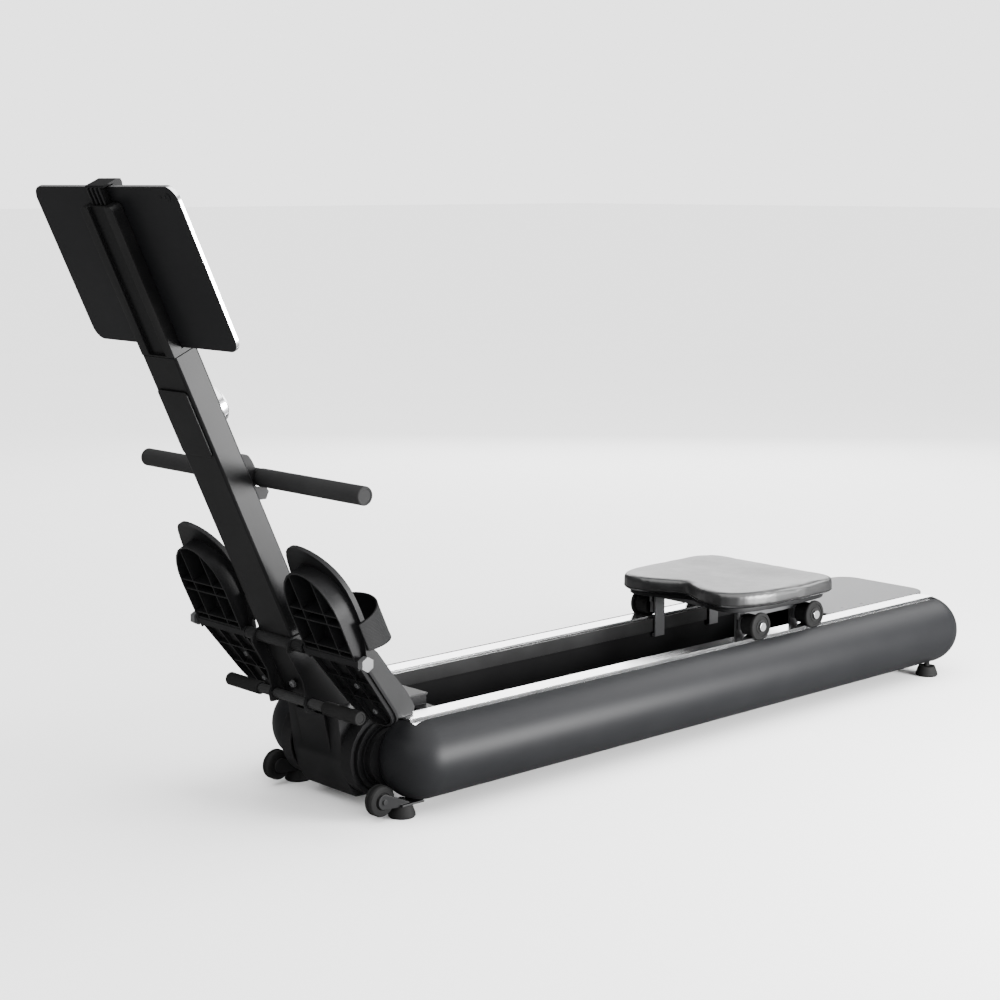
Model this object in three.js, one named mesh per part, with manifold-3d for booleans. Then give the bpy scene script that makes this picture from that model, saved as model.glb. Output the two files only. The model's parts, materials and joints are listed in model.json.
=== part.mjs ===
// Rowing machine with a leaning mast, twin side casings, rolling seat and magnetic flywheel.
// Millimetres. +Z up, the seat travels along Y, the mast stands at the -Y end, +X is the rower's left.
import * as THREE from 'three'
import { mergeVertices } from 'three/addons/utils/BufferGeometryUtils.js'
import Module from 'manifold-3d'

const wasm = await Module()
wasm.setup()

// ---- driving dimensions, measured from the front feet (y = 0) and the floor (z = 0) ----
const gap = 0.3
const originY = 453.1

const casing = { x: 128.5, z: 84, radius: 62, wall: 3, frontY: 31, rearY: 1273, innerX: 104.8 }
const rail = { innerX: 105.5, outerX: 136, gutterX: 147.2, top: 145, thick: 3.5, gutterZ: 138.3 }
const railEnds = { frontY: 8, rearY: 1290 }
const beam = { innerX: 108, outerX: 133, bottom: 58, top: 141.2, wall: 2.5, frontY: 10, rearY: 1284 }
const channel = { frontY: 100, rearY: 1284, outerX: 104.4, bandX: 97, wallX: 101.4 }
const channelZ = { bottom: 66, floor: 69, band: 118, top: 141 }
const rearCover = { halfWidth: 103, frontY: 1019, rearY: 1326, corner: 40, top: 145.5, skirtZ: 34 }

const mast = { y: -58.8, z: 160, lean: THREE.MathUtils.degToRad(24.76), width: 80, depth: 40 }
const mastRun = { foot: 8, top: 583, wall: 2 }
const head = { thick: 17, top: 807, ledge: 591.5, slotHalf: 20, slotFoot: 586, slotDepth: 4.6 }
const tablet = { width: 348, height: 237, thick: 6, foot: 592, back: -2.5, corner: 20 }
const stem = { half: 17.5, front: -10, back: -3.4, foot: 690 }
const dial = { run: 483, radius: 30, height: 18 }

const axle = { y: -128, z: 260.5, radius: 5.2, half: 202, sleeve: 8.8, sleeveHalf: 68 }
const standBar = { y: -101, z: 170, radius: 7, half: 156, gripRadius: 10, gripInner: 78 }
const pedal = { x: 133.5, lean: THREE.MathUtils.degToRad(24.76), heel: 13 }
const sole = { half: 65, toe: 175, top: 28, thick: 7.5, curl: 92, tipTop: 11, step: -10, stepTop: 12 }
const tray = { half: 57.5, end: 141, under: -6.2, wall: 3 }
const heel = { half: 60, tip: 50, end: 146, top: 6, under: -4.5, thick: 4, round: 48 }
const strap = {
  thick: 2.6, foot: 14, base: 20, rise: 66.5, top: 54.6, topFall: 5.2, bottom: 10, bottomFall: 22.6,
}

const handle = { y: -173, z: 505, half: 261, grip: 13.2, core: 11, middle: 12.6, gripInner: 29 }
const pulley = { run: 366.1, radius: 13 }
const drum = { y: 2, z: 86, radius: 24 }
const flywheel = { radius: 52, inner: 17, outer: 52, bore: 11.3 }
const shaft = { radius: 6, half: 56.6 }
const magnet = {
  low: THREE.MathUtils.degToRad(25), high: THREE.MathUtils.degToRad(65), inner: 54.5, outer: 61,
}
const hub = { y: 0, z: 84 }
const saddle = { z: 153.6, half: 72, frontY: -82, rearY: 96, thick: 4 }

const roller = { z: 163.8, tread: 18.5, flange: 24.2, bore: 5.3, frontY: 785, rearY: 930.5, outer: 143 }
const wheel = { x: 124, y: -40.5, z: 31.5, radius: 23, width: 17 }
const frontFoot = { x: 125, y: 0 }
const post = { x: 122, y: 22, radius: 6 }
const rearFoot = { x: 146, y: 1262 }
const seat = { y: 851, bottom: 199.5, top: 226.5, shell: 191, half: 162.5 }

// ---- finishes ----
const finish = (color, roughness, metalness) =>
  new THREE.MeshStandardMaterial({ color, roughness, metalness })
const charcoal = finish('#2b2c2e', 0.42, 0.1)
const blackPlastic = finish('#151516', 0.55, 0)
const blackSteel = finish('#1c1c1d', 0.4, 0.3)
const greySteel = finish('#3a3b3c', 0.4, 0.35)
const polished = finish('#d9dadc', 0.18, 1)
const rubber = finish('#111111', 0.85, 0)
const foam = finish('#202021', 0.9, 0)
const padSkin = finish('#1a1a1b', 0.45, 0)
const panelGrey = finish('#5a5b5d', 0.4, 0.2)
const silver = finish('#c9cacc', 0.3, 0.9)
const castIron = finish('#4a4a4c', 0.6, 0.8)
const webbing = finish('#161616', 0.95, 0)

// ---- solids ----
function solid(geometry) {
  const bare = geometry.clone()
  bare.deleteAttribute('normal')
  bare.deleteAttribute('uv')
  const welded = mergeVertices(bare, 1e-4)
  const vertProperties = new Float32Array(welded.attributes.position.array)
  const triVerts = new Uint32Array(welded.index.array)
  return new wasm.Manifold(new wasm.Mesh({ numProp: 3, vertProperties, triVerts }))
}

function geometryOf(body) {
  const mesh = body.getMesh()
  const geometry = new THREE.BufferGeometry()
  geometry.setAttribute('position', new THREE.BufferAttribute(mesh.vertProperties, 3))
  geometry.setIndex(new THREE.BufferAttribute(mesh.triVerts, 1))
  return geometry
}

function block(x0, x1, y0, y1, z0, z1) {
  const geometry = new THREE.BoxGeometry(x1 - x0, y1 - y0, z1 - z0)
  return solid(geometry.translate((x0 + x1) / 2, (y0 + y1) / 2, (z0 + z1) / 2))
}

function outlineShape(points) {
  return new THREE.Shape(points.map(([a, b]) => new THREE.Vector2(a, b)))
}

// An outline in (y, z) pushed from x0 to x1.
function plateX(shape, x0, x1, curveSegments = 10) {
  const geometry = new THREE.ExtrudeGeometry(shape, { depth: x1 - x0, bevelEnabled: false, curveSegments })
  const turn = new THREE.Matrix4().set(0, 0, 1, x0, 1, 0, 0, 0, 0, 1, 0, 0, 0, 0, 0, 1)
  return solid(geometry.applyMatrix4(turn))
}

// An outline in (x, z) pushed from y0 to y1.
function plateY(shape, y0, y1, curveSegments = 10) {
  const geometry = new THREE.ExtrudeGeometry(shape, { depth: y1 - y0, bevelEnabled: false, curveSegments })
  return solid(geometry.rotateX(Math.PI / 2).translate(0, y1, 0))
}

// An outline in (x, y) pushed from z0 to z1.
function plateZ(shape, z0, z1, curveSegments = 10) {
  const geometry = new THREE.ExtrudeGeometry(shape, { depth: z1 - z0, bevelEnabled: false, curveSegments })
  return solid(geometry.translate(0, 0, z0))
}

function barX(radius, x0, x1, y = 0, z = 0, sides = 20) {
  const geometry = new THREE.CylinderGeometry(radius, radius, x1 - x0, sides)
  return solid(geometry.rotateZ(Math.PI / 2).translate((x0 + x1) / 2, y, z))
}

function barZ(radius, x, y, z0, z1, sides = 16) {
  const geometry = new THREE.CylinderGeometry(radius, radius, z1 - z0, sides)
  return solid(geometry.rotateX(Math.PI / 2).translate(x, y, (z0 + z1) / 2))
}

// A profile of [along, radius] pairs turned about the X, Y or Z axis.
function turned(profile, axis, sides = 24) {
  const points = profile.map(([along, radius]) => new THREE.Vector2(radius, along))
  const geometry = new THREE.LatheGeometry(points, sides)
  if (axis === 'x') geometry.rotateZ(-Math.PI / 2)
  if (axis === 'z') geometry.rotateX(Math.PI / 2)
  const body = solid(geometry)
  return body.volume() < 0 ? solid(flipped(geometry)) : body
}

function flipped(geometry) {
  const copy = geometry.clone()
  const index = copy.index.array
  for (let i = 0; i < index.length; i += 3) {
    const first = index[i]
    index[i] = index[i + 1]
    index[i + 1] = first
  }
  return copy
}

function mirroredX(geometry) {
  return flipped(geometry.clone().scale(-1, 1, 1))
}

function roundedRectangle(x0, x1, y0, y1, radius) {
  const shape = new THREE.Shape()
  shape.moveTo(x0 + radius, y0)
  shape.lineTo(x1 - radius, y0)
  shape.absarc(x1 - radius, y0 + radius, radius, -Math.PI / 2, 0)
  shape.lineTo(x1, y1 - radius)
  shape.absarc(x1 - radius, y1 - radius, radius, 0, Math.PI / 2)
  shape.lineTo(x0 + radius, y1)
  shape.absarc(x0 + radius, y1 - radius, radius, Math.PI / 2, Math.PI)
  shape.lineTo(x0, y0 + radius)
  shape.absarc(x0 + radius, y0 + radius, radius, Math.PI, Math.PI * 1.5)
  return shape
}

// ---- scene graph ----
const group = new THREE.Group()
const machine = new THREE.Group()
machine.position.y = -originY
group.add(machine)

const mastGroup = new THREE.Group()
mastGroup.position.set(0, mast.y, mast.z)
mastGroup.rotation.x = mast.lean
machine.add(mastGroup)

function add(parent, name, body, material) {
  const geometry = body.isBufferGeometry ? body : geometryOf(body)
  const mesh = new THREE.Mesh(geometry, material)
  mesh.name = name
  parent.add(mesh)
  return mesh
}

// The left piece is at +X and the right one is its mirror image.
function addPair(parent, name, body, material) {
  const geometry = geometryOf(body)
  add(parent, `${name}_left`, geometry, material)
  add(parent, `${name}_right`, mirroredX(geometry), material)
}

// ---- side casings: a long capsule shell, open towards the frame and under the rail ----
function sideCasing() {
  const length = casing.rearY - casing.frontY
  const middleY = (casing.rearY + casing.frontY) / 2
  const capsule = (radius) =>
    solid(new THREE.CapsuleGeometry(radius, length, 5, 24).translate(casing.x, middleY, casing.z))
  const railSlot = block(100, rail.gutterX + gap, railEnds.frontY - gap, railEnds.rearY + gap, 134, 150)
  const innerSide = block(60, casing.innerX, -60, 1360, 0, 160)
  const frontPost = barZ(post.radius + 0.6, post.x, post.y, 10, 50, 12)
  const rearStud = barZ(5.6, rearFoot.x, rearFoot.y, 10, 50, 12)
  return capsule(casing.radius).subtract(capsule(casing.radius - casing.wall))
    .subtract(railSlot).subtract(innerSide).subtract(frontPost).subtract(rearStud)
}

// ---- running rail: flat track with a lower gutter outside it for the roller flange ----
function runningRail() {
  const section = outlineShape([
    [rail.innerX, rail.top - rail.thick], [beam.outerX + 0.5, rail.top - rail.thick],
    [beam.outerX + 0.5, rail.gutterZ - 2.5], [rail.gutterX, rail.gutterZ - 2.5],
    [rail.gutterX, rail.gutterZ], [rail.outerX, rail.gutterZ],
    [rail.outerX, rail.top], [rail.innerX, rail.top],
  ])
  const plan = roundedRectangle(rail.innerX, rail.gutterX, railEnds.frontY - 30, railEnds.rearY, 15)
  const track = plateY(section, railEnds.frontY, railEnds.rearY)
  return track.intersect(plateZ(plan, 130, 150, 6))
}

function frameBeam() {
  const { innerX, outerX, bottom, top, wall, frontY, rearY } = beam
  const core = block(innerX + wall, outerX - wall, frontY - 5, rearY + 5, bottom + wall, top - wall)
  return block(innerX, outerX, frontY, rearY, bottom, top).subtract(core)
}

function channelTray() {
  const { outerX, bandX, wallX } = channel
  const half = [
    [outerX, channelZ.bottom], [outerX, channelZ.top], [bandX, channelZ.top],
    [bandX, channelZ.band], [wallX, channelZ.band], [wallX, channelZ.floor],
  ]
  const mirrored = half.map(([x, z]) => [-x, z]).reverse()
  return plateY(outlineShape([...half, ...mirrored]), channel.frontY, channel.rearY)
}

// ---- rear cover: flat lid between the rails with a skirt round the back ----
function rearCoverPanel() {
  const { halfWidth, frontY, rearY, corner, top, skirtZ } = rearCover
  const outline = (inset) => {
    const shape = new THREE.Shape()
    shape.moveTo(-halfWidth + inset, frontY)
    shape.lineTo(halfWidth - inset, frontY)
    shape.lineTo(halfWidth - inset, rearY - corner)
    shape.absarc(halfWidth - corner, rearY - corner, corner - inset, 0, Math.PI / 2)
    shape.lineTo(-halfWidth + corner, rearY - inset)
    shape.absarc(-halfWidth + corner, rearY - corner, corner - inset, Math.PI / 2, Math.PI)
    return shape
  }
  const lid = plateZ(outline(0), top - 4, top, 6)
  const skirt = plateZ(outline(0), skirtZ, top, 6).subtract(plateZ(outline(3), skirtZ - 5, top + 5, 6))
  return lid.add(skirt.subtract(block(-120, 120, 1000, channel.rearY + gap, 0, top - 4)))
}

function rearCrossMember() {
  const tube = block(-156, 156, 1242, 1280, 36, beam.bottom - gap)
  return tube.subtract(block(-170, 170, 1244.5, 1277.5, 38.5, beam.bottom - gap - 2.5))
}

// Front cross tube between the beams, carrying the saddle plate under the mast.
function frontCrossMember() {
  const tube = block(-107.7, 107.7, 66, 96, 100, 140)
  const core = block(-120, 120, 68.5, 93.5, 102.5, 137.5)
  const { z, half, frontY, rearY, thick } = saddle
  const plate = block(-half, half, frontY, rearY, z, z + thick)
  const strapWindow = block(-16, 16, -74, -24, z - 5, z + 9)
  const posts = [1, -1].map((side) => block(side * 66 - 3, side * 66 + 3, 66, 96, 139, z + 1))
  return tube.subtract(core).add(plate).add(posts[0]).add(posts[1]).subtract(strapWindow)
}

// ---- front housing round the flywheel, open to the rear ----
function frontHousing() {
  const outline = [
    [-66, 150], [-61, 112], [-56, 74], [-47, 42], [-33, 21], [40, 19], [62, 34], [62, 150],
  ]
  const cavity = [
    [-62.6, 147], [-58, 112], [-53, 74], [-44.4, 43.4], [-31.4, 24], [38.8, 22], [70, 36], [70, 147],
  ]
  const shell = plateX(outlineShape(outline), -60, 60).subtract(plateX(outlineShape(cavity), -57, 57))
  const strapWindow = block(-16, 16, -60, -14, 140, 160)
  const chin = outlineShape([[-72, 146], [-60, 96], [-52, 60], [-44, 60], [-44, 146]])
  const tongue = plateX(chin, -34, 34).subtract(plateX(outlineShape(cavity), -57, 57))
  return shell.add(tongue).subtract(strapWindow)
}

// Stepped end bell between the housing and a side casing.
function hubCover() {
  const profile = [
    [101.4, 0], [101.4, 39], [81, 39], [81, 59], [60.3, 59],
    [60.3, 62], [84, 62], [84, 54], [90, 54], [90, 46], [94, 46], [94, 42], [104.4, 42], [104.4, 0],
  ]
  const bell = turned(profile, 'x', 28)
  return bell.translate([0, hub.y, hub.z])
}

// ---- flywheel, its shaft and bearings, the strap drum and the recoil spring case ----
function flywheelRim() {
  const { inner, outer, radius, bore } = flywheel
  const profile = [
    [inner, bore], [outer, bore], [outer, 18], [outer - 8, 22], [outer - 8, 38], [outer, 42],
    [outer, radius], [inner, radius], [inner, 42], [inner + 8, 38], [inner + 8, 22],
    [inner, 18], [inner, bore],
  ]
  return turned(profile, 'x', 24)
}

function bearing(x0) {
  const inner = shaft.radius + gap
  const outer = flywheel.bore - gap
  return turned([[x0, inner], [x0 + 8, inner], [x0 + 8, outer], [x0, outer], [x0, inner]], 'x', 14)
}

function strapDrum() {
  const inner = shaft.radius + gap
  const { radius } = drum
  return turned([
    [-15, inner], [15, inner], [15, radius + 8], [13, radius + 8], [13, radius],
    [-13, radius], [-13, radius + 8], [-15, radius + 8], [-15, inner],
  ], 'x', 18)
}

function recoilSpringCase() {
  const inner = shaft.radius + gap
  return turned([[-50, inner], [-17, inner], [-17, 36], [-44, 36], [-50, 30], [-50, inner]], 'x', 18)
}

// Curved arm that holds the brake magnets over the flywheel rim.
function magnetBracket() {
  const shape = new THREE.Shape()
  shape.absarc(0, 0, magnet.outer, magnet.low, magnet.high, false)
  shape.absarc(0, 0, magnet.inner, magnet.high, magnet.low, true)
  return plateX(shape, 20, 48, 6)
}

// ---- mast: rectangular tube, plastic head with a sliding tablet clamp, front cover, dial ----
function mastTube() {
  const halfW = mast.width / 2
  const halfD = mast.depth / 2
  const { foot, top, wall } = mastRun
  const tube = plateZ(roundedRectangle(-halfW, halfW, -halfD, halfD, 4), foot, top, 3)
  const core = block(-halfW + wall, halfW - wall, -halfD + wall, halfD - wall, foot - 5, top + 5)
  const strapSlot = block(-15, 15, halfD - 8, halfD + 5, 366, 380)
  const across = axle.y - mast.y
  const up = axle.z - mast.z
  const axleY = across * Math.cos(mast.lean) + up * Math.sin(mast.lean)
  const axleZ = up * Math.cos(mast.lean) - across * Math.sin(mast.lean)
  const axleNotch = barX(axle.sleeve + gap, -50, 50, axleY, axleZ, 18)
  return tube.subtract(core).subtract(strapSlot).subtract(axleNotch)
}

function mastHead() {
  const halfW = mast.width / 2
  const front = -mast.depth / 2
  const { thick, top, ledge, slotHalf, slotFoot, slotDepth } = head
  const spine = roundedRectangle(-halfW, halfW, mastRun.top + gap, top, 8)
  const slab = plateY(spine, front, front + thick, 4)
  const shelf = block(-halfW, halfW, front, -front, mastRun.top + gap, ledge)
  const lip = block(-halfW, halfW, 6.5, 10, ledge - 1, ledge + 6)
  const slot = block(-slotHalf, slotHalf, front - 1, front + slotDepth, slotFoot, top + 5)
  const pocketHalf = stem.half + gap
  const pocket = block(-pocketHalf, pocketHalf, stem.front - gap, 0, stem.foot - 1, top + 5)
  return slab.add(shelf).add(lip).subtract(slot).subtract(pocket)
}

function mastFrontCover() {
  const front = -mast.depth / 2 - gap
  return plateY(roundedRectangle(-35, 35, 430, 532, 6), front - 2.6, front, 4)
}

// Stem that slides in the spine, with ribs behind it and a hook over the tablet's top edge.
function tabletClamp() {
  const { half, front, back, foot } = stem
  const edge = tablet.foot + tablet.height + 1
  const pad = tablet.back + tablet.thick + 1.6
  const stemBar = block(-half, half, front, back, foot, edge + 1)
  const hook = outlineShape([
    [front, edge], [front + 2, edge + 3], [15, edge + 3.2], [19.5, edge + 1], [20, edge - 4],
    [18, edge - 10], [pad, edge - 10], [pad, edge],
  ])
  const rib = (x) => block(x - 1.8, x + 1.8, front - 2.6, front + 1, head.top + gap, edge + 1)
  const backRibs = [-15, -5, 5, 15].map(rib)
  return backRibs.reduce((body, one) => body.add(one), stemBar.add(plateX(hook, -23, 23)))
}

function tabletSlab() {
  const { width, height, thick, foot, back, corner } = tablet
  return plateY(roundedRectangle(-width / 2, width / 2, foot, foot + height, corner), back, back + thick, 6)
}

function resistanceDial() {
  const { radius, height } = dial
  const seatY = mast.depth / 2 + gap
  return turned([
    [seatY, 0], [seatY, radius], [seatY + height - 4, radius - 1], [seatY + height, radius - 5],
    [seatY + height - 2, radius - 8], [seatY + height - 2, 0],
  ], 'y', 28).translate([0, 0, dial.run])
}

// ---- mast foot plates, pedal axle, stand bar ----
function mastBracket() {
  const foot = saddle.z + saddle.thick + gap
  const outline = outlineShape([
    [-143, 262], [-138, 270], [-118, 276], [-88, 262], [-30, foot], [-110, foot],
    [-113, 170], [-109, 180], [-116, 206], [-143, 252],
  ])
  const plate = plateX(outline, mast.width / 2 + gap, mast.width / 2 + 4.3)
  const holes = barX(axle.sleeve + gap, 30, 60, axle.y, axle.z)
    .add(barX(standBar.radius + gap, 30, 60, standBar.y, standBar.z, 16))
  return plate.subtract(holes)
}

function pedalAxle() {
  const rod = barX(axle.radius, -axle.half, axle.half, axle.y, axle.z, 14)
  const sleeve = barX(axle.sleeve, -axle.sleeveHalf, axle.sleeveHalf, axle.y, axle.z)
  const heads = [1, -1].map((side) => {
    const centre = side * (axle.half + 1)
    return barX(11, centre - 5, centre + 5, axle.y, axle.z, 6)
  })
  return rod.add(sleeve).add(heads[0]).add(heads[1])
}

function standBarGrip() {
  const { y, z, radius, half, gripRadius, gripInner } = standBar
  const bore = radius + gap
  return turned([
    [gripInner, bore], [half + 1, bore], [half + 1, gripRadius - 1.5], [half - 1, gripRadius],
    [gripInner + 1, gripRadius], [gripInner, gripRadius - 1], [gripInner, bore],
  ], 'x', 18).translate([0, y, z])
}

// Sheet plate standing on the rail: its sloping front edge stops the heel of the pedal.
function heelBracket() {
  const plate = outlineShape([
    [8, 145.4], [20, 147.4], [26.6, 151.6], [28, 157.5], [22, 169], [11.6, 185], [-13.2, 213.6],
    [-40.7, 249.2], [-48, 255.5], [-60, 255], [-80, 239], [-90.6, 224.2],
    [-38, 157], [-31, 148.6], [-26, 145.4],
  ])
  const foot = block(108, 119, 10, 28, 145.4, 148.4)
  return plateX(plate, 118.5, 122).add(foot)
}

// ---- pedal: curled sole plate over a ribbed tray, with a heel part that bends up behind the axle ----
function toeOutline(half, end) {
  const shape = new THREE.Shape()
  shape.moveTo(-half + 1, sole.step)
  shape.lineTo(-half, 70)
  shape.absellipse(0, 70, half, end - 70, Math.PI, 0, true)
  shape.lineTo(half - 1, sole.step)
  return shape
}

function heelOutline(inset) {
  const { half, tip, end, round } = heel
  const shape = new THREE.Shape()
  shape.moveTo(half - inset, 4)
  shape.lineTo(tip - inset, round - end)
  shape.absellipse(0, round - end, tip - inset, round - inset, 0, -Math.PI, true)
  shape.lineTo(inset - half, 4)
  return shape
}

// Everything under the sole's upper face moved down by the given depth, seen from the side.
function underSole(depth) {
  const shape = new THREE.Shape()
  shape.moveTo(-20, sole.step - 1)
  shape.lineTo(sole.stepTop - depth, sole.step - 1)
  shape.lineTo(sole.top - depth, 48)
  shape.lineTo(sole.top - depth, sole.curl)
  shape.quadraticCurveTo(sole.top - depth, 138, sole.tipTop - depth * 0.8, sole.toe + 2)
  shape.lineTo(-20, sole.toe + 2)
  return plateX(shape, -80, 80, 7)
}

function pedalPlate() {
  const { half, toe, thick } = sole
  const { under, wall } = tray
  const plate = plateY(toeOutline(half, toe), -20, 40, 9).intersect(underSole(0).subtract(underSole(thick)))
  const core = plateY(toeOutline(tray.half - wall, tray.end - wall), -30, 40, 6).intersect(underSole(thick))
  const shell = plateY(toeOutline(tray.half, tray.end), under, 40, 6).intersect(underSole(1))
  const toeRibs = ribs([8, 18, 60, 76], 24, under + 1, 40, tray.end, 1).intersect(shell)
  const heelPlate = plateY(heelOutline(0), heel.top - heel.thick, heel.top, 6)
  const heelTray = plateY(heelOutline(3), heel.under, heel.top - 1, 6)
  const heelCore = plateY(heelOutline(3 + wall), -20, heel.top - heel.thick, 6)
  const heelRibs = ribs([44, 84], 18, heel.under + 1, heel.top - 1, heel.end, -1).intersect(heelTray)
  const heelPart = heelTray.subtract(heelCore).add(heelRibs).add(heelPlate).rotate([pedal.heel, 0, 0])
  const barrel = barX(8.2, -half + 3, half - 3, 0, 0, 14).intersect(block(-80, 80, under, 20, -20, 20))
  const bore = barX(axle.radius + gap, -80, 80, 0, 0, 14)
  const web = block(-54, 54, 1, 11, -3, 8.5)
  return shell.subtract(core).add(toeRibs).add(plate).add(heelPart).add(web).add(barrel).subtract(bore)
}

// Cross ribs at the given distances from the axle and two long ribs beside the middle.
function ribs(rows, columnX, y0, y1, end, direction) {
  const rib = 1.1
  const long = [columnX, -columnX].map((x) => {
    const reach = [0, direction * end].sort((a, b) => a - b)
    return block(x - rib, x + rib, y0, y1, reach[0], reach[1])
  })
  const cross = rows.map((row) => block(-60, 60, y0, y1, direction * row - rib, direction * row + rib))
  return cross.reduce((body, piece) => body.add(piece), long[0].add(long[1]))
}

// Wide band that arches over the foot from one edge of the pedal to the other.
function footStrap() {
  const inner = sole.half + 0.9
  const outer = inner + strap.thick
  const { base, rise, thick } = strap
  const arch = new THREE.Shape()
  arch.moveTo(outer, strap.foot)
  arch.lineTo(outer, base)
  arch.absellipse(0, base, outer, rise, 0, Math.PI, false)
  arch.lineTo(-outer, strap.foot)
  arch.lineTo(-inner, strap.foot)
  arch.lineTo(-inner, base)
  arch.absellipse(0, base, inner, rise - thick, Math.PI, 0, true)
  arch.lineTo(inner, strap.foot)
  const band = new THREE.ExtrudeGeometry(arch, { depth: 120, bevelEnabled: false, curveSegments: 10 })
  const along = (start, fall, n) => [n, start - (fall * (n - base)) / rise]
  const edge = (start, fall) => [along(start, fall, -10), along(start, fall, base + rise + 5)]
  const side = [...edge(strap.top, strap.topFall), ...edge(strap.bottom, strap.bottomFall).reverse()]
  return solid(band.translate(0, 0, -50)).intersect(plateX(outlineShape(side), -90, 90))
}

function addPedals() {
  const footplate = geometryOf(pedalPlate())
  const band = geometryOf(footStrap())
  for (const [side, name] of [[1, 'left'], [-1, 'right']]) {
    const pedalGroup = new THREE.Group()
    pedalGroup.position.set(side * pedal.x, axle.y, axle.z)
    pedalGroup.rotation.x = pedal.lean
    machine.add(pedalGroup)
    add(pedalGroup, `pedal_${name}`, footplate, blackPlastic)
    add(pedalGroup, `foot_strap_${name}`, band, webbing)
  }
}

// ---- handle with its cradle, pull strap, guide pulley and the strap run inside the mast ----
function handleBar() {
  const { core, middle, half, gripInner, y, z } = handle
  return turned([
    [-half + 4, 0], [-half + 4, core], [-gripInner + gap, core], [-gripInner + gap, middle],
    [gripInner - gap, middle], [gripInner - gap, core], [half - 4, core], [half - 4, 0],
  ], 'x', 18).translate([0, y, z])
}

function handleGrip() {
  const { core, grip, half, gripInner, y, z } = handle
  const bore = core + gap
  return turned([
    [gripInner, bore], [half - 3.7, bore], [half - 3.7, 0], [half, 0], [half, grip - 1], [half - 1.5, grip],
    [half - 6, grip - 0.8], [gripInner + 1, grip - 0.8], [gripInner, grip - 1.4], [gripInner, bore],
  ], 'x', 18).translate([0, y, z])
}

// Face of the mast tube towards the seat, at height z.
function mastRearY(z, clearance) {
  const reach = mast.depth / 2 + clearance
  const height = z - mast.z - Math.sin(mast.lean) * reach
  return mast.y + Math.cos(mast.lean) * reach - Math.tan(mast.lean) * height
}

function handleCradle() {
  const { y, z } = handle
  const notch = 14.4
  const shape = new THREE.Shape()
  shape.moveTo(mastRearY(473, gap), 473)
  shape.lineTo(y + 9, 473)
  shape.lineTo(y + 14, 484)
  shape.lineTo(y + 9, z - notch)
  shape.lineTo(y, z - notch)
  shape.absarc(y, z, notch, -Math.PI / 2, Math.PI * 0.69, true)
  shape.quadraticCurveTo(y - 14, z + 26, y - 21, z + 33)
  shape.quadraticCurveTo(y - 26, z + 36, mastRearY(540, gap), 540)
  const cheeks = plateX(shape, -28, 28, 6).subtract(block(-18, 18, -260, -100, 460, 560))
  const face = outlineShape([
    [mastRearY(475, gap), 475], [mastRearY(475, gap + 3), 475],
    [mastRearY(538, gap + 3), 538], [mastRearY(538, gap), 538],
  ])
  const back = plateX(face, -20, 20).subtract(block(-14, 14, -260, -100, 500, 514))
  return cheeks.add(back)
}

function pullStrap() {
  return block(-12.5, 12.5, -211, handle.y - handle.middle - gap, 505.8, 507.8)
}

function guidePulley() {
  return turned([
    [-37.5, 0], [-37.5, 3], [-15, 3], [-15, pulley.radius + 2.5], [-13.3, pulley.radius + 2.5],
    [-13.3, pulley.radius], [13.3, pulley.radius], [13.3, pulley.radius + 2.5],
    [15, pulley.radius + 2.5], [15, 3], [37.5, 3], [37.5, 0],
  ], 'x', 14)
}

// Straight run of strap from the guide pulley down the mast to the drum.
function strapRun() {
  const top = new THREE.Vector2(-226.6, 486)
  const foot = new THREE.Vector2(drum.y - drum.radius - 1.4, drum.z + 6)
  const across = foot.clone().sub(top).normalize().rotateAround(new THREE.Vector2(), Math.PI / 2)
  const corner = (point, side) => [point.x + across.x * side, point.y + across.y * side]
  return plateX(outlineShape([corner(top, -1), corner(top, 1), corner(foot, 1), corner(foot, -1)]), -12, 12)
}

// ---- seat: pad, shell and carriage on four flanged rollers ----
function seatOutline(inset) {
  const shape = new THREE.Shape()
  const half = seat.half - inset
  const front = seat.y - 139 + inset
  const rear = seat.y + 140 - inset
  shape.moveTo(0, front + 35)
  shape.bezierCurveTo(22, front + 35, 52, front, 96, front)
  shape.bezierCurveTo(130, front, half - 9, front + 33, half - 3, front + 88)
  shape.lineTo(half, seat.y + 30)
  shape.lineTo(half - 2, rear - 48)
  shape.bezierCurveTo(half - 3, rear - 16, half - 18, rear, half - 46, rear)
  shape.lineTo(46 - half, rear)
  shape.bezierCurveTo(18 - half, rear, 3 - half, rear - 16, 2 - half, rear - 48)
  shape.lineTo(-half, seat.y + 30)
  shape.lineTo(3 - half, front + 88)
  shape.bezierCurveTo(9 - half, front + 33, -130, front, -96, front)
  shape.bezierCurveTo(-52, front, -22, front + 35, 0, front + 35)
  return shape
}

function seatPad() {
  const bevel = 6
  const depth = seat.top - seat.bottom - bevel
  const geometry = new THREE.ExtrudeGeometry(seatOutline(bevel), {
    depth, bevelEnabled: true, bevelSize: bevel, bevelThickness: bevel, bevelSegments: 2, curveSegments: 7,
  })
  const body = solid(geometry.translate(0, 0, seat.bottom))
  return body.subtract(block(-200, 200, 600, 1100, 170, seat.bottom))
}

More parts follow.
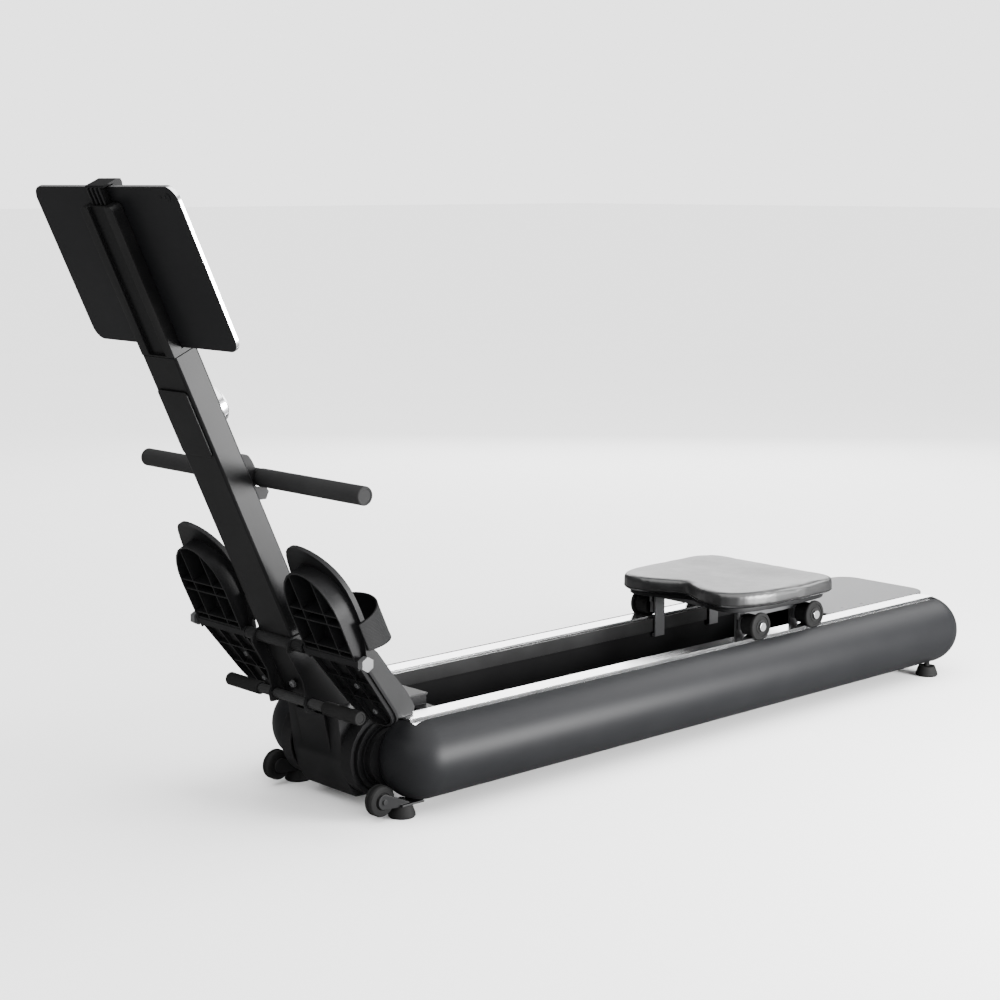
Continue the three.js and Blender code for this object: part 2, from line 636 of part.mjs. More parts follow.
function seatCarriage() {
  const top = block(-100, 100, roller.frontY - 15, roller.rearY + 15, 182, seat.shell - gap)
  const pieces = []
  for (const side of [1, -1]) {
    const span = (x0, x1) => [side * x0, side * x1].sort((a, b) => a - b)
    const cheek = span(99, 104)
    pieces.push(block(cheek[0], cheek[1], roller.frontY - 15, roller.rearY + 15, 172, seat.shell - gap))
    for (const y of [roller.frontY, roller.rearY]) {
      const lug = span(99, 106)
      const pin = span(100, roller.outer + 3)
      const cap = span(roller.outer + 0.6, roller.outer + 3.6)
      const hook = span(92, 95.4)
      const toe = span(92, 100.4)
      pieces.push(block(lug[0], lug[1], y - 11, y + 11, 152, 176))
      pieces.push(barX(5, pin[0], pin[1], y, roller.z, 12))
      pieces.push(barX(7.5, cap[0], cap[1], y, roller.z, 12))
      pieces.push(block(hook[0], hook[1], y - 12, y + 12, 109, 184))
      pieces.push(block(toe[0], toe[1], y - 12, y + 12, 109, 114))
    }
  }
  return pieces.reduce((body, piece) => body.add(piece), top)
}

function seatRoller() {
  const { tread, flange, bore, outer } = roller
  return turned([
    [110, bore], [outer, bore], [outer, flange - 1], [outer - 1, flange], [137, flange], [136.4, tread],
    [111, tread], [110, tread - 1], [110, bore],
  ], 'x', 18).translate([0, 0, roller.z])
}

// ---- transport wheels in their forks, levelling feet ----
function transportWheel() {
  const { x, radius, width } = wheel
  const inner = x - width / 2
  const outer = x + width / 2
  return turned([
    [inner, 4.4], [outer, 4.4], [outer, radius - 3], [outer - 1, radius],
    [inner + 1, radius], [inner, radius - 3], [inner, 4.4],
  ], 'x', 22)
}

function wheelFork() {
  const { x, y, z, width } = wheel
  const arm = new THREE.Shape()
  arm.absarc(y, z, 11, Math.PI * 0.4, Math.PI * 1.4, false)
  arm.lineTo(-20, 18.6)
  arm.lineTo(6, 18.6)
  arm.lineTo(6, 22.6)
  const side = width / 2 + 0.4
  const stud = barZ(5.6, frontFoot.x, frontFoot.y, 10, 40, 12)
  const plate = block(x - side - 3, 141, -11.5, 30, 18.6, 21.6).subtract(stud)
  const innerArm = plateX(arm, x - side - 3, x - side, 6)
  const outerArm = plateX(arm, x + side, x + side + 3, 6)
  const pin = barX(4, x - side - 2, x + side + 5, y, z, 12)
  const upright = barZ(post.radius, post.x, post.y, 20, beam.bottom - gap, 12)
  return plate.add(innerArm).add(outerArm).add(pin).add(upright)
}

// Fluted cone on a threaded stud.
function levellingFoot(studTop) {
  const cone = turned([
    [0, 0], [0, 19], [2, 20.6], [5, 20.2], [18.2, 15.4], [18.2, 5.2], [studTop, 5.2], [studTop, 0],
  ], 'z', 24)
  const flutes = Array.from({ length: 12 }, (_, i) => {
    const turn = (i / 12) * Math.PI * 2
    const bar = new THREE.CylinderGeometry(1.6, 1.6, 30, 6)
    bar.rotateX(Math.PI / 2 + 0.36).translate(0, 19.3, 14).rotateZ(turn)
    return solid(bar)
  })
  return flutes.reduce((body, flute) => body.subtract(flute), cone)
}

// ---- assembly ----
addPair(machine, 'casing', sideCasing(), charcoal)
addPair(machine, 'frame_beam', frameBeam(), blackSteel)
addPair(machine, 'rail', runningRail(), polished)
add(machine, 'channel_tray', channelTray(), blackPlastic)
add(machine, 'rear_cover', rearCoverPanel(), panelGrey)
add(machine, 'cross_member_rear', rearCrossMember(), blackSteel)
add(machine, 'cross_member_front', frontCrossMember(), blackSteel)
add(machine, 'front_housing', frontHousing(), blackPlastic)
addPair(machine, 'hub_cover', hubCover(), blackPlastic)

const driveGroup = new THREE.Group()
driveGroup.position.set(0, drum.y, drum.z)
machine.add(driveGroup)
add(driveGroup, 'flywheel_shaft', barX(shaft.radius, -shaft.half, shaft.half), greySteel)
add(driveGroup, 'flywheel', flywheelRim(), castIron)
add(driveGroup, 'flywheel_bearing_inner', bearing(flywheel.inner + 2), greySteel)
add(driveGroup, 'flywheel_bearing_outer', bearing(flywheel.outer - 10), greySteel)
add(driveGroup, 'strap_drum', strapDrum(), blackPlastic)
add(driveGroup, 'recoil_spring_case', recoilSpringCase(), blackPlastic)
add(driveGroup, 'magnet_bracket', magnetBracket(), greySteel)

add(mastGroup, 'mast_tube', mastTube(), greySteel)
add(mastGroup, 'mast_head', mastHead(), blackPlastic)
add(mastGroup, 'mast_front_cover', mastFrontCover(), blackPlastic)
add(mastGroup, 'tablet_clamp', tabletClamp(), blackPlastic)
add(mastGroup, 'tablet', tabletSlab(), blackSteel)
add(mastGroup, 'resistance_dial', resistanceDial(), silver)
add(mastGroup, 'strap_pulley', guidePulley(), blackPlastic).position.z = pulley.run

addPair(machine, 'mast_bracket', mastBracket(), blackSteel)
add(machine, 'pedal_axle', pedalAxle(), blackSteel)
const standTube = barX(standBar.radius, -standBar.half, standBar.half, standBar.y, standBar.z, 16)
add(machine, 'stand_bar', standTube, blackSteel)
addPair(machine, 'stand_bar_grip', standBarGrip(), rubber)
addPair(machine, 'heel_bracket', heelBracket(), greySteel)
addPedals()

add(machine, 'handle_bar', handleBar(), blackSteel)
addPair(machine, 'handle_grip', handleGrip(), foam)
add(machine, 'handle_cradle', handleCradle(), greySteel)
add(machine, 'pull_strap', pullStrap(), webbing)
add(machine, 'strap_run', strapRun(), webbing)

add(machine, 'seat_pad', seatPad(), padSkin)
add(machine, 'seat_shell', plateZ(seatOutline(16), seat.shell, seat.bottom - gap, 7), blackPlastic)
add(machine, 'seat_carriage', seatCarriage(), blackSteel)
for (const [y, end] of [[roller.frontY, 'front'], [roller.rearY, 'rear']]) {
  addPair(machine, `seat_roller_${end}`, seatRoller().translate([0, y, 0]), rubber)
}

addPair(machine, 'wheel_fork', wheelFork(), greySteel)
addPair(machine, 'transport_wheel', transportWheel().translate([0, wheel.y, wheel.z]), rubber)
addPair(machine, 'front_foot', levellingFoot(27.5).translate([frontFoot.x, frontFoot.y, 0]), rubber)
addPair(machine, 'rear_foot', levellingFoot(35.6).translate([rearFoot.x, rearFoot.y, 0]), rubber)

export default group
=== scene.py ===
# Rowing machine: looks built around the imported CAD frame. Metres, +Z up, the seat rolls along Y.
import json
from math import atan2, cos, exp, pi, radians, sin
import bmesh
import bpy
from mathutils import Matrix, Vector

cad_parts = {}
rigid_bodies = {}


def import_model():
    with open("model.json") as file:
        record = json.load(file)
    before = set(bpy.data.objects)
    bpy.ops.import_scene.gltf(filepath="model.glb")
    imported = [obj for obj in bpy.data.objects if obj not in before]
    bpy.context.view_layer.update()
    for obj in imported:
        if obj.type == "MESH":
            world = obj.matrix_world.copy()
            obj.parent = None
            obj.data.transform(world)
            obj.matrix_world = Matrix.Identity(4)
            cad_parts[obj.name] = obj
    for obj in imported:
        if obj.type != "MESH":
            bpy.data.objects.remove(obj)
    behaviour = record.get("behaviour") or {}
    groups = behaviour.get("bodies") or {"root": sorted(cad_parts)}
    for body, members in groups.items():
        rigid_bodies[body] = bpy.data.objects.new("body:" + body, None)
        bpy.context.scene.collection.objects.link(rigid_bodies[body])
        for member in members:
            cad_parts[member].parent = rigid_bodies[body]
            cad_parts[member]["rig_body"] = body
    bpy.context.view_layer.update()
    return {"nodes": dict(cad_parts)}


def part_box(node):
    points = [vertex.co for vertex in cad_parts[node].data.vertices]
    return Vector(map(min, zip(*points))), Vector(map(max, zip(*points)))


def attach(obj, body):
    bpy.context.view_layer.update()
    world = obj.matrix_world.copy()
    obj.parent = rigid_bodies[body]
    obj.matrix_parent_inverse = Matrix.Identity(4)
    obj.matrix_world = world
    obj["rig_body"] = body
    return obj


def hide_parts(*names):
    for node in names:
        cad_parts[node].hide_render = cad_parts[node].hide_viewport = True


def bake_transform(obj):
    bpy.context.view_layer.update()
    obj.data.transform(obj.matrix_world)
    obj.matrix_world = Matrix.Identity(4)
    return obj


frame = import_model()
scene = bpy.context.scene


# ---- shading ----
class Field:
    # one socket of a material, so that sums and products of masks read as plain Python
    def __init__(self, paint, socket):
        self.paint = paint
        self.socket = socket

    def maths(self, operation, first, second):
        return self.paint.node("ShaderNodeMath", {"operation": operation}, {0: first, 1: second})

    def __add__(self, other):
        return self.maths("ADD", self, other)

    __radd__ = __add__

    def __sub__(self, other):
        return self.maths("SUBTRACT", self, other)

    def __rsub__(self, other):
        return self.maths("SUBTRACT", other, self)

    def __mul__(self, other):
        return self.maths("MULTIPLY", self, other)

    __rmul__ = __mul__

    def held(self):
        # kept between 0 and 1
        settings = {"operation": "ADD", "use_clamp": True}
        return self.paint.node("ShaderNodeMath", settings, {0: self, 1: 0.0})


class Paint:
    def __init__(self, name):
        self.material = bpy.data.materials.new(name)
        self.material.use_nodes = True
        self.tree = self.material.node_tree
        self.tree.nodes.clear()

    def node(self, kind, settings=None, sockets=None, out=0):
        made = self.tree.nodes.new(kind)
        for key, value in (settings or {}).items():
            setattr(made, key, value)
        for key, value in (sockets or {}).items():
            if isinstance(value, Field):
                self.tree.links.new(value.socket, made.inputs[key])
            else:
                made.inputs[key].default_value = value
        return Field(self, made.outputs[out])

    def noise(self, scale, detail=3.0, stretch=(1.0, 1.0, 1.0)):
        place = self.node("ShaderNodeTexCoord", out="Object")
        if stretch != (1.0, 1.0, 1.0):
            place = self.node("ShaderNodeMapping", {}, {"Vector": place, "Scale": stretch})
        return self.node("ShaderNodeTexNoise", {}, {"Vector": place, "Scale": scale, "Detail": detail}, "Fac")

    def wave(self, axis, scale, distortion=0.0):
        place = self.node("ShaderNodeTexCoord", out="Object")
        settings = {"wave_type": "BANDS", "bands_direction": axis}
        sockets = {"Vector": place, "Scale": scale, "Distortion": distortion}
        return self.node("ShaderNodeTexWave", settings, sockets, "Fac")

    def blend(self, amount, first, second):
        settings = {"data_type": "RGBA"}
        first, second = [(*c, 1.0) if isinstance(c, tuple) else c for c in (first, second)]
        return self.node("ShaderNodeMix", settings, {0: amount, 6: first, 7: second}, 2)

    def finish(self, color, roughness, metallic=0.0, height=None, depth=0.0, extra=None):
        sockets = {"Base Color": color, "Roughness": roughness, "Metallic": metallic}
        sockets.update(extra or {})
        if height is not None:
            sockets["Normal"] = self.node("ShaderNodeBump", {}, {"Height": height, "Distance": depth})
        shader = self.node("ShaderNodeBsdfPrincipled", {}, sockets)
        output = self.tree.nodes.new("ShaderNodeOutputMaterial")
        self.tree.links.new(shader.socket, output.inputs["Surface"])
        return self.material


wear = {"edgeFrom": 0.53, "edgeGain": 9.0, "dustFrom": 0.45, "dustGain": 0.6, "cloudShare": 0.6}


def grained(name, look):
    # colour drifts a little, edges are rubbed paler, and a fine grain breaks up the gloss
    paint = Paint(name)
    cloud = paint.noise(look["cloud"], 4.0)
    grain = paint.noise(look["grain"], 2.0, look.get("stretch", (1.0, 1.0, 1.0)))
    sharpness = paint.node("ShaderNodeNewGeometry", out="Pointiness")
    rubbed = ((sharpness - wear["edgeFrom"]) * wear["edgeGain"] * cloud * look["wear"]).held()
    dust = ((cloud - wear["dustFrom"]) * wear["dustGain"]).held() * look["dust"]
    base = paint.blend(cloud, look["dark"], look["light"])
    base = paint.blend((rubbed + dust).held(), base, look["worn"])
    low, high = look["gloss"]
    share = wear["cloudShare"]
    roughness = low + (high - low) * (cloud * share + grain * (1 - share))
    extra = {"Specular IOR Level": look.get("specular", 0.5)}
    return paint.finish(base, roughness, look["metal"], grain, look["depth"], extra)


def grainSettings(dark, light, worn, gloss, metal=0.0, grain=900.0, depth=0.00006, **more):
    look = {"dark": dark, "light": light, "worn": worn, "gloss": gloss, "metal": metal,
            "grain": grain, "depth": depth, "cloud": 14.0, "wear": 1.0, "dust": 0.15}
    look.update(more)
    return look


finishes = {
    "casingPaint": grainSettings((0.0055, 0.0057, 0.0064), (0.0075, 0.0077, 0.0084), (0.05, 0.05, 0.053),
                                 (0.42, 0.52), 0.0, 1400.0, 0.00003, wear=0.3, dust=0.06, specular=0.10),
    "frameBlack": grainSettings((0.0030, 0.0030, 0.0032), (0.0045, 0.0045, 0.0048), (0.04, 0.04, 0.04),
                                (0.36, 0.50), 0.0, 1200.0, 0.00004, dust=0.08, specular=0.08),
    "mastPaint": grainSettings((0.0022, 0.0022, 0.0024), (0.0032, 0.0032, 0.0034), (0.05, 0.05, 0.05),
                               (0.34, 0.42), 0.0, 1300.0, 0.00003, wear=0.4, dust=0.05, specular=0.09),
    "moulded": grainSettings((0.0030, 0.0030, 0.0032), (0.0048, 0.0048, 0.0051), (0.035, 0.035, 0.036),
                             (0.42, 0.56), 0.0, 700.0, 0.00008, dust=0.08, specular=0.08),
    "pedalPlastic": grainSettings((0.0035, 0.0035, 0.0038), (0.0055, 0.0055, 0.0058), (0.04, 0.04, 0.041),
                                  (0.40, 0.54), 0.0, 800.0, 0.00008, dust=0.1, specular=0.09),
    "greySteel": grainSettings((0.030, 0.0305, 0.032), (0.040, 0.0405, 0.042), (0.16, 0.16, 0.16),
                               (0.34, 0.48), 0.2, 1000.0, 0.00004),
    "bracketDark": grainSettings((0.0035, 0.0036, 0.0039), (0.0055, 0.0056, 0.0059), (0.05, 0.05, 0.05),
                                 (0.38, 0.52), 0.0, 1000.0, 0.00004, dust=0.05, specular=0.1),
    "coverGrey": grainSettings((0.040, 0.041, 0.043), (0.048, 0.049, 0.051), (0.14, 0.14, 0.14),
                               (0.42, 0.52), 0.0, 1200.0, 0.00004, wear=0.3),
    "railMetal": grainSettings((0.80, 0.81, 0.82), (0.88, 0.88, 0.89), (0.95, 0.95, 0.95),
                               (0.14, 0.26), 1.0, 420.0, 0.00003, stretch=(1.0, 0.03, 1.0), dust=0.0),
    "rubber": grainSettings((0.0035, 0.0035, 0.0035), (0.0060, 0.0060, 0.0060), (0.03, 0.03, 0.03),
                            (0.62, 0.80), 0.0, 600.0, 0.00012, dust=0.2, specular=0.08),
    "foam": grainSettings((0.0085, 0.0085, 0.0088), (0.0125, 0.0125, 0.0128), (0.03, 0.03, 0.03),
                          (0.72, 0.88), 0.0, 520.0, 0.00022, wear=0.3, specular=0.15),
    "endPlug": grainSettings((0.026, 0.026, 0.027), (0.036, 0.036, 0.037), (0.07, 0.07, 0.07),
                             (0.36, 0.5), 0.0, 900.0, 0.00004),
    "tabletBack": grainSettings((0.0035, 0.0035, 0.0040), (0.0048, 0.0048, 0.0053), (0.05, 0.05, 0.05),
                                (0.36, 0.42), 0.0, 2600.0, 0.00001, wear=0.2, dust=0.05, cloud=5.0,
                                specular=0.08),
    "tabletRim": grainSettings((0.68, 0.68, 0.69), (0.76, 0.76, 0.77), (0.9, 0.9, 0.9),
                               (0.22, 0.32), 1.0, 1500.0, 0.00001),
    "screenGlass": grainSettings((0.004, 0.004, 0.0045), (0.005, 0.005, 0.0055), (0.02, 0.02, 0.02),
                                 (0.04, 0.10), 0.0, 900.0, 0.0, dust=0.05, wear=0.1),
    "chrome": grainSettings((0.62, 0.62, 0.63), (0.72, 0.72, 0.73), (0.85, 0.85, 0.85),
                            (0.16, 0.28), 1.0, 1100.0, 0.00002),
    "dialMetal": grainSettings((0.74, 0.74, 0.75), (0.84, 0.84, 0.85), (0.95, 0.95, 0.95),
                               (0.18, 0.28), 1.0, 900.0, 0.00002),
    "castIron": grainSettings((0.10, 0.10, 0.10), (0.16, 0.16, 0.165), (0.3, 0.3, 0.3),
                              (0.4, 0.6), 0.8, 500.0, 0.0001),
    "rollerGrey": grainSettings((0.040, 0.0405, 0.042), (0.055, 0.0555, 0.057), (0.14, 0.14, 0.14),
                                (0.36, 0.5), 0.0, 900.0, 0.00005),
}
paints = {name: grained(name, look) for name, look in finishes.items()}


def leatherette():
    # coated upholstery skin: fine pebble grain over slow gloss changes
    look = {"pebble": 1100.0, "crease": 60.0, "slow": 7.0, "pebbleDepth": 0.00009,
            "dark": (0.0045, 0.0045, 0.0048), "light": (0.0090, 0.0090, 0.0094),
            "gloss": (0.25, 0.12, 0.10), "height": (0.7, 0.5), "specular": 0.6}
    paint = Paint("padSkin")
    slow = paint.noise(look["slow"], 3.0)
    crease = paint.noise(look["crease"], 5.0)
    place = paint.node("ShaderNodeTexCoord", out="Object")
    cells = paint.node("ShaderNodeTexVoronoi", {}, {"Vector": place, "Scale": look["pebble"]}, "Distance")
    color = paint.blend(crease * slow, look["dark"], look["light"])
    least, fromSlow, fromCrease = look["gloss"]
    roughness = least + fromSlow * slow + fromCrease * crease
    height = cells * look["height"][0] + crease * look["height"][1]
    extra = {"Specular IOR Level": look["specular"]}
    return paint.finish(color, roughness, 0.0, height, look["pebbleDepth"], extra)


weave = {"yarn": 900.0, "wander": 0.4, "dark": (0.0020, 0.0020, 0.0021), "light": (0.0055, 0.0055, 0.0058),
         "tone": (0.7, 0.3), "gloss": (0.55, 0.25), "height": (0.7, 0.5), "depth": 0.0003, "specular": 0.12}


def webbing(name, axis, scale):
    # ribs across the run of the band, crossed by finer yarns
    paint = Paint(name)
    rib = paint.wave(axis, scale, weave["wander"])
    yarn = paint.noise(weave["yarn"], 2.0)
    tone = rib * weave["tone"][0] + yarn * weave["tone"][1]
    color = paint.blend(tone, weave["dark"], weave["light"])
    roughness = weave["gloss"][0] + weave["gloss"][1] * yarn
    height = rib * weave["height"][0] + yarn * weave["height"][1]
    extra = {"Specular IOR Level": weave["specular"]}
    return paint.finish(color, roughness, 0.0, height, weave["depth"], extra)


paints["padSkin"] = leatherette()
paints["strapWeave"] = webbing("strapWeave", "Z", 160.0)
paints["pullWeave"] = webbing("pullWeave", "Y", 260.0)
print("finishes ready:", len(paints))


# ---- making pieces ----
def bodyOf(node):
    return frame["nodes"][node]["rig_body"]


def newPiece(name, mesh, *finishNames):
    piece = bpy.data.objects.new(name, mesh)
    scene.collection.objects.link(piece)
    mesh.materials.clear()
    for finishName in finishNames:
        mesh.materials.append(paints[finishName])
    return piece


def applied(piece):
    # bakes the modifiers into the mesh, and leaves none behind
    bpy.context.view_layer.update()
    graph = bpy.context.evaluated_depsgraph_get()
    solid = bpy.data.meshes.new_from_object(piece.evaluated_get(graph))
    piece.modifiers.clear()
    piece.data = solid
    return piece


def smoothed(piece, angle=32.0):
    piece.data.shade_smooth()
    piece.data.set_sharp_from_angle(angle=radians(angle))
    return piece


weld = {"near": 0.00002, "flat": 0.5}


def cleanCopy(node):
    # welded copy of a CAD mesh, with flat faces merged back into single faces
    mesh = bpy.data.meshes.new(node + "_mesh")
    shape = bmesh.new()
    shape.from_mesh(frame["nodes"][node].data)
    bmesh.ops.remove_doubles(shape, verts=shape.verts, dist=weld["near"])
    flat = radians(weld["flat"])
    bmesh.ops.dissolve_limit(shape, angle_limit=flat, verts=shape.verts, edges=shape.edges)
    shape.to_mesh(mesh)
    shape.free()
    for name in ("custom_normal", "sharp_edge", "sharp_face"):
        if name in mesh.attributes:
            mesh.attributes.remove(mesh.attributes[name])
    return mesh


def dressed(node, finishName, edge, angle=32.0):
    # CAD shape with real rounded edges
    piece = newPiece(node + "_made", cleanCopy(node), finishName)
    if edge > 0:
        rounding = piece.modifiers.new("edges", "BEVEL")
        rounding.width = edge
        rounding.segments = 2
        rounding.limit_method = "ANGLE"
        rounding.angle_limit = radians(angle)
        applied(piece)
    smoothed(piece, angle)
    if edge > 0:
        evened = piece.modifiers.new("evened", "WEIGHTED_NORMAL")
        evened.keep_sharp = True
        applied(piece)
    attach(piece, bodyOf(node))
    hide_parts(node)
    return piece


def lathe(name, centre, axis, profile, finishNames, steps=48):
    # profile rows are (distance along the axis, radius, finish number of the band that follows)
    along = Vector(axis).normalized()
    side = along.orthogonal().normalized()
    third = along.cross(side)
    shape = bmesh.new()
    rings = []
    for distance, radius, _ in profile:
        place = Vector(centre) + along * distance
        if radius < 1e-6:
            rings.append([shape.verts.new(place)])
            continue
        turns = [2 * pi * i / steps for i in range(steps)]
        spokes = [cos(t) * side + sin(t) * third for t in turns]
        rings.append([shape.verts.new(place + radius * spoke) for spoke in spokes])
    for row, (first, second) in enumerate(zip(rings, rings[1:])):
        for i in range(steps):
            j = (i + 1) % steps
            corners = [first[i % len(first)], first[j % len(first)], second[j % len(second)],
                       second[i % len(second)]]
            face = shape.faces.new(list(dict.fromkeys(corners)))
            face.material_index = profile[row][2]
    bmesh.ops.recalc_face_normals(shape, faces=shape.faces)
    mesh = bpy.data.meshes.new(name)
    shape.to_mesh(mesh)
    shape.free()
    return smoothed(newPiece(name, mesh, *finishNames), 28.0)


def middle(node):
    low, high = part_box(node)
    return (Vector(low) + Vector(high)) / 2, (Vector(high) - Vector(low)) / 2


sides = (("left", 1), ("right", -1))
lean = radians(24.76)
runDirection = Vector((0, -sin(lean), cos(lean)))  # up the mast
outDirection = Vector((0, cos(lean), sin(lean)))  # from the mast towards the seat


# ---- side casings ----
casing = {"radius": 0.062, "wall": 0.003, "innerX": 0.1048, "gutterX": 0.1475, "slotZ": 0.134,
          "slotFront": 0.0382, "slotRear": 0.0453, "around": 112, "capRings": 18,
          "cutFrom": 0.05, "gutterFrom": 0.10, "cutTop": 0.3, "cutPast": 0.1}


def capsule(name, radius, side):
    # round ends at both sides of a straight run, centred on the CAD casing
    low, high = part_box("casing_" + name)
    centreX = side * (max(abs(low[0]), abs(high[0])) - casing["radius"])
    centreZ = low[2] + casing["radius"]
    rows = []
    count = casing["capRings"]
    turns = [0.5 * pi * k / count for k in range(count + 1)]
    for y, way in ((low[1] + casing["radius"], -1), (high[1] - casing["radius"], 1)):
        arc = [(y + way * radius * sin(a), radius * cos(a)) for a in turns]
        rows += arc[::-1] if way < 0 else arc
    profile = [(y, r if r > 1e-5 else 0.0, 0) for y, r in rows]
    return lathe("casing_" + name + "_made", (centreX, 0, centreZ), (0, 1, 0), profile,
                 ["casingPaint"], casing["around"])


def cutter(low, high):
    shape = bmesh.new()
    corners = [shape.verts.new((x, y, z)) for x in (low[0], high[0]) for y in (low[1], high[1])
               for z in (low[2], high[2])]
    bmesh.ops.convex_hull(shape, input=corners)
    mesh = bpy.data.meshes.new("cutter")
    shape.to_mesh(mesh)
    shape.free()
    piece = bpy.data.objects.new("cutter", mesh)
    scene.collection.objects.link(piece)
    return piece


def carved(piece, tools):
    for tool in tools:
        cut = piece.modifiers.new("cut", "BOOLEAN")
        cut.operation = "DIFFERENCE"
        cut.solver = "EXACT"
        cut.object = tool
    applied(piece)
    for tool in tools:
        bpy.data.objects.remove(tool)
    return piece


for name, side in sides:
    low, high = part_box("casing_" + name)
    shell = capsule(name, casing["radius"], side)
    inner = capsule(name, casing["radius"] - casing["wall"], side)
    flank = sorted((side * casing["cutFrom"], side * casing["innerX"]))
    gutter = sorted((side * casing["gutterFrom"], side * casing["gutterX"]))
    flankY = (low[1] - casing["cutPast"], high[1] + casing["cutPast"])
    slotY = (low[1] + casing["slotFront"], high[1] - casing["slotRear"])
    top = casing["cutTop"]
    carved(shell, [inner, cutter((flank[0], flankY[0], 0), (flank[1], flankY[1], top)),
                   cutter((gutter[0], slotY[0], casing["slotZ"]), (gutter[1], slotY[1], top))])
    smoothed(shell, 30.0)
    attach(shell, "base")
    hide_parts("casing_" + name)
print("side casings made")


# ---- machined and moulded parts that keep the CAD shape ----
cadPieces = {
    "mast_tube": ("mastPaint", 0.0025), "mast_head": ("mastPaint", 0.0012),
    "mast_front_cover": ("mastPaint", 0.0008), "tablet_clamp": ("moulded", 0.0008),
    "rear_cover": ("coverGrey", 0.0012), "channel_tray": ("frameBlack", 0.0004),
    "cross_member_front": ("frameBlack", 0.0008), "cross_member_rear": ("frameBlack", 0.0008),
    "front_housing": ("moulded", 0.0025), "handle_cradle": ("moulded", 0.0012),
    "strap_run": ("pullWeave", 0.0), "stand_bar": ("frameBlack", 0.0), "pedal_axle": ("frameBlack", 0.0004),
    "seat_shell": ("moulded", 0.0015), "seat_carriage": ("greySteel", 0.0005),
    "resistance_dial": ("dialMetal", 0.0008), "strap_pulley": ("moulded", 0.0004),
    "handle_bar": ("frameBlack", 0.0005),
}
for name, side in sides:
    cadPieces["frame_beam_" + name] = ("frameBlack", 0.0005)
    cadPieces["rail_" + name] = ("railMetal", 0.0004)
    cadPieces["hub_cover_" + name] = ("moulded", 0.0010)
    cadPieces["mast_bracket_" + name] = ("frameBlack", 0.0006)
    cadPieces["heel_bracket_" + name] = ("bracketDark", 0.0006)
    cadPieces["pedal_" + name] = ("pedalPlastic", 0.0007)
    cadPieces["wheel_fork_" + name] = ("bracketDark", 0.0005)
    cadPieces["front_foot_" + name] = ("rubber", 0.0005)
    cadPieces["rear_foot_" + name] = ("rubber", 0.0005)
for node, (finishName, edge) in cadPieces.items():
    dressed(node, finishName, edge)

ends = {"boltHead": 0.1965, "pinCapGap": 0.0004}


def tipped(node, finishName, fromX):
    # another finish on both ends of a piece, past a distance from the middle
    piece = bpy.data.objects[node + "_made"]
    piece.data.materials.append(paints[finishName])
    for face in piece.data.polygons:
        if abs(face.center.x) > fromX:
            face.material_index = 1


tipped("pedal_axle", "greySteel", ends["boltHead"])
tipped("seat_carriage", "chrome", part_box("seat_roller_front_left")[1][0] + ends["pinCapGap"])

hidden = {"flywheel": "castIron", "flywheel_bearing_inner": "chrome", "flywheel_bearing_outer": "chrome",
          "flywheel_shaft": "chrome", "strap_drum": "moulded", "recoil_spring_case": "moulded",
          "magnet_bracket": "greySteel"}
for node, finishName in hidden.items():
    frame["nodes"][node].data.materials.clear()
    frame["nodes"][node].data.materials.append(paints[finishName])
print("CAD shaped pieces made:", len(cadPieces))


# ---- screws ----
# shares of the head's radius: wall, shoulder, top and socket
screwHead = {"sunk": 0.002, "wall": 0.35, "shoulder": (0.55, 0.82), "top": 0.62, "flat": 0.5,
             "socket": 0.42, "floor": (0.2, 0.36)}
mastScrew = {"out": -0.0046, "run": -0.0744, "radius": 0.0055}  # measured from the pedal axle
heelScrews = {"out": 0.0015, "runs": (("upper", -0.064), ("lower", -0.118)), "bend": 13, "radius": 0.0042}
coverScrews = {"x": 0.088, "rows": (("front", 0.19), ("rear", 0.38)), "down": 0.0015, "radius": 0.0034}


def screw(name, place, axis, body, r):
    # pan head with a round socket, sunk a little into its part; the socket floor gets the black frame paint
    # as painted shade in the socket
    head = screwHead
    height, shoulder = head["shoulder"]
    floorUp, floorOut = head["floor"]
    profile = [(-head["sunk"], r, 0), (r * head["wall"], r, 0), (r * height, r * shoulder, 0),
               (r * head["top"], r * head["flat"], 0), (r * head["top"], r * head["socket"], 0),
               (r * floorUp, r * floorOut, 1), (r * floorUp, 0.0, 1)]
    # finish 1, the black frame paint on the socket floor, is painted shade at the bottom of the socket
    piece = lathe(name, place, axis, profile, ["greySteel", "frameBlack"], 24)
    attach(piece, body)


axleMiddle, _ = middle("pedal_axle")
mastSpot = axleMiddle + outDirection * mastScrew["out"] + runDirection * mastScrew["run"]
screw("mast_screw", mastSpot, -outDirection, "base", mastScrew["radius"])
bend = radians(heelScrews["bend"])
for name, side in sides:
    soleMiddle, _ = middle("pedal_" + name)
    for row, run in heelScrews["runs"]:
        out = heelScrews["out"] * cos(bend) - run * sin(bend)
        down = heelScrews["out"] * sin(bend) + run * cos(bend)
        spot = Vector((soleMiddle.x, axleMiddle.y, axleMiddle.z)) + outDirection * out + runDirection * down
        screw("heel_screw_" + row + "_" + name, spot, -outDirection, "pedal_" + name, heelScrews["radius"])
lid, half = middle("rear_cover")
for name, side in sides:
    for row, y in coverScrews["rows"]:
        spot = Vector((side * coverScrews["x"], lid.y - half.y + y * 2 * half.y,
                       lid.z + half.z - coverScrews["down"]))
        screw("cover_screw_" + row + "_" + name, spot, (0, 0, 1), "base", coverScrews["radius"])
print("screws made")


